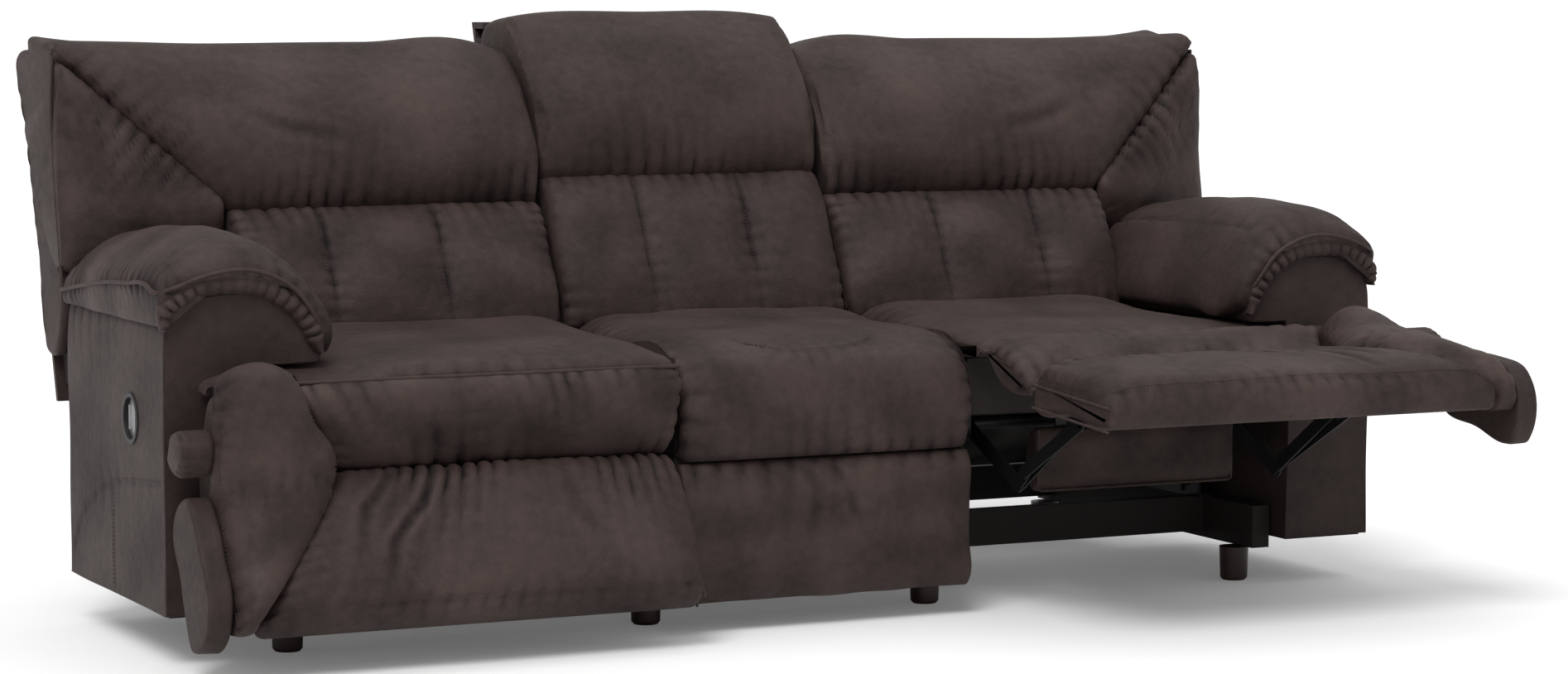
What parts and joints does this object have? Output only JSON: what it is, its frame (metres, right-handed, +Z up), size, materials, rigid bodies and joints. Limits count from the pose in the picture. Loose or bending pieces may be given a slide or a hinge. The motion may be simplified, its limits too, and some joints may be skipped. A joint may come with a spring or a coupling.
{
  "type": "reclining sofa",
  "caption": "Padded brown leather sofa with pillow arms; both outer seats recline and have a fold-out footrest on links, the middle seat is fixed.",
  "frame": {"origin": "floor, under the middle of the sofa with the right footrest out and both backs upright", "axes": "+X along the sofa towards its right end as seen from the front, +Y from the front to the back, +Z up"},
  "size_m": [2.312, 1.4128, 1.0424],
  "materials": {
    "leather": "soft suede-like hide, dark chocolate brown",
    "leather_panel": "the same hide drawn flat over boards",
    "frame_wood": "raw planed softwood and plywood",
    "foot_wood": "dark stained, satin",
    "black_steel": "black, semi-matt",
    "lever_metal": "dull nickel",
    "cup_plastic": "dark brown moulded",
    "webbing": "woven elastic"
  },
  "bodies": {
    "base": {"base_beams": "frame_wood", "feet": "foot_wood", "base_rails": "black_steel", "arm_frames": "frame_wood", "release_cups": "cup_plastic", "centre_seat_box": "frame_wood", "centre_webbing": "webbing", "centre_seat_cushion": "leather", "centre_lower_panel": "leather_panel", "centre_back_frame": "frame_wood", "centre_rear_panel": "leather_panel", "centre_head_pillow": "leather", "centre_lumbar_cushion": "leather", "left_arm_cover": "leather_panel", "left_arm_pad": "leather", "right_arm_cover": "leather_panel", "right_arm_pad": "leather"},
    "left_seat": {"left_mechanism_plates": "black_steel", "left_seat_box": "frame_wood", "left_seat_webbing": "webbing", "left_seat_cushion": "leather", "left_lower_apron": "leather_panel"},
    "left_back": {"left_back_frame": "frame_wood", "left_back_straps": "black_steel", "left_rear_panel": "leather_panel", "left_lumbar_cushion": "leather", "left_head_pillow": "leather", "left_wing_bolster": "leather"},
    "left_bridge": {"left_bridge_pad": "leather", "left_ear_block": "leather_panel"},
    "left_ottoman": {"left_ottoman_board": "leather_panel", "left_ottoman_pad": "leather", "left_side_block": "leather_panel", "left_ottoman_brackets": "black_steel"},
    "left_drive": {"left_drive_links": "black_steel"},
    "left_upper": {"left_upper_links": "black_steel"},
    "left_idler": {"left_idler_links": "black_steel"},
    "left_release": {"left_release_lever": "lever_metal"},
    "right_seat": {"right_mechanism_plates": "black_steel", "right_seat_box": "frame_wood", "right_seat_webbing": "webbing", "right_seat_cushion": "leather", "right_lower_apron": "leather_panel"},
    "right_back": {"right_back_frame": "frame_wood", "right_back_straps": "black_steel", "right_rear_panel": "leather_panel", "right_lumbar_cushion": "leather", "right_head_pillow": "leather", "right_wing_bolster": "leather"},
    "right_bridge": {"right_bridge_pad": "leather", "right_ear_block": "leather_panel"},
    "right_ottoman": {"right_ottoman_board": "leather_panel", "right_ottoman_pad": "leather", "right_side_block": "leather_panel", "right_ottoman_brackets": "black_steel"},
    "right_drive": {"right_drive_links": "black_steel"},
    "right_upper": {"right_upper_links": "black_steel"},
    "right_idler": {"right_idler_links": "black_steel"},
    "right_release": {"right_release_lever": "lever_metal"}
  },
  "joints": [
    {"name": "left_glide", "type": "slide", "parent": "base", "child": "left_seat", "axis": [0, -1, 0], "range_m": [0, 0.055]},
    {"name": "left_recline", "type": "hinge", "parent": "left_seat", "child": "left_back", "pos_m": [0, 0.33034, 0.385], "axis": [-1, 0, 0], "range_deg": [0, 28]},
    {"name": "left_footrest", "type": "hinge", "parent": "left_seat", "child": "left_bridge", "pos_m": [0, -0.27166, 0.462], "axis": [-1, 0, 0], "range_deg": [0, 92.8]},
    {"name": "left_ottoman_hinge", "type": "hinge", "parent": "left_bridge", "child": "left_ottoman", "pos_m": [0, -0.20976, 0.29992], "axis": [-1, 0, 0], "range_deg": [-40.8, 0]},
    {"name": "left_drive_pivot", "type": "hinge", "parent": "left_seat", "child": "left_drive", "pos_m": [0, -0.07676, 0.3161], "axis": [-1, 0, 0], "range_deg": [0, 87.6]},
    {"name": "left_upper_pivot", "type": "hinge", "parent": "left_drive", "child": "left_upper", "pos_m": [0, 0.00308, 0.11949], "axis": [-1, 0, 0], "range_deg": [-91.1, 0]},
    {"name": "left_idler_pivot", "type": "hinge", "parent": "left_drive", "child": "left_idler", "pos_m": [0, -0.02138, 0.09175], "axis": [-1, 0, 0], "range_deg": [-94.2, 0]},
    {"name": "left_release_lever", "type": "hinge", "parent": "base", "child": "left_release", "pos_m": [-1.143, 0.02834, 0.388], "axis": [0, 0, -1], "range_deg": [0, 28], "stiffness_Nm_per_rad": 0.25, "springref_deg": -20.05},
    {"name": "right_glide", "type": "slide", "parent": "base", "child": "right_seat", "axis": [0, -1, 0], "range_m": [0, 0.055]},
    {"name": "right_recline", "type": "hinge", "parent": "right_seat", "child": "right_back", "pos_m": [0, 0.33034, 0.385], "axis": [-1, 0, 0], "range_deg": [0, 28]},
    {"name": "right_footrest", "type": "hinge", "parent": "right_seat", "child": "right_bridge", "pos_m": [0, -0.27166, 0.462], "axis": [-1, 0, 0], "range_deg": [-92.8, 0]},
    {"name": "right_ottoman_hinge", "type": "hinge", "parent": "right_bridge", "child": "right_ottoman", "pos_m": [0, -0.43657, 0.4081], "axis": [-1, 0, 0], "range_deg": [0, 40.8]},
    {"name": "right_drive_pivot", "type": "hinge", "parent": "right_seat", "child": "right_drive", "pos_m": [0, -0.07676, 0.3161], "axis": [-1, 0, 0], "range_deg": [-87.6, 0]},
    {"name": "right_upper_pivot", "type": "hinge", "parent": "right_drive", "child": "right_upper", "pos_m": [0, -0.26985, 0.2281], "axis": [-1, 0, 0], "range_deg": [0, 91.1]},
    {"name": "right_idler_pivot", "type": "hinge", "parent": "right_drive", "child": "right_idler", "pos_m": [0, -0.29859, 0.25138], "axis": [-1, 0, 0], "range_deg": [0, 94.2]},
    {"name": "right_release_lever", "type": "hinge", "parent": "base", "child": "right_release", "pos_m": [1.143, 0.02834, 0.388], "axis": [0, 0, 1], "range_deg": [0, 28], "stiffness_Nm_per_rad": 0.25, "springref_deg": -20.05}
  ],
  "couplings": [
    {"joint": "left_glide", "follows": "left_recline", "m_per_rad": 0.11255},
    {"joint": "left_ottoman_hinge", "follows": "left_footrest", "ratio": -0.43966},
    {"joint": "left_drive_pivot", "follows": "left_footrest", "ratio": 0.94397},
    {"joint": "left_upper_pivot", "follows": "left_footrest", "ratio": -0.98168},
    {"joint": "left_idler_pivot", "follows": "left_footrest", "ratio": -1.0151},
    {"joint": "right_glide", "follows": "right_recline", "m_per_rad": 0.11255},
    {"joint": "right_ottoman_hinge", "follows": "right_footrest", "ratio": -0.43966},
    {"joint": "right_drive_pivot", "follows": "right_footrest", "ratio": 0.94397},
    {"joint": "right_upper_pivot", "follows": "right_footrest", "ratio": -0.98168},
    {"joint": "right_idler_pivot", "follows": "right_footrest", "ratio": -1.0151}
  ]
}
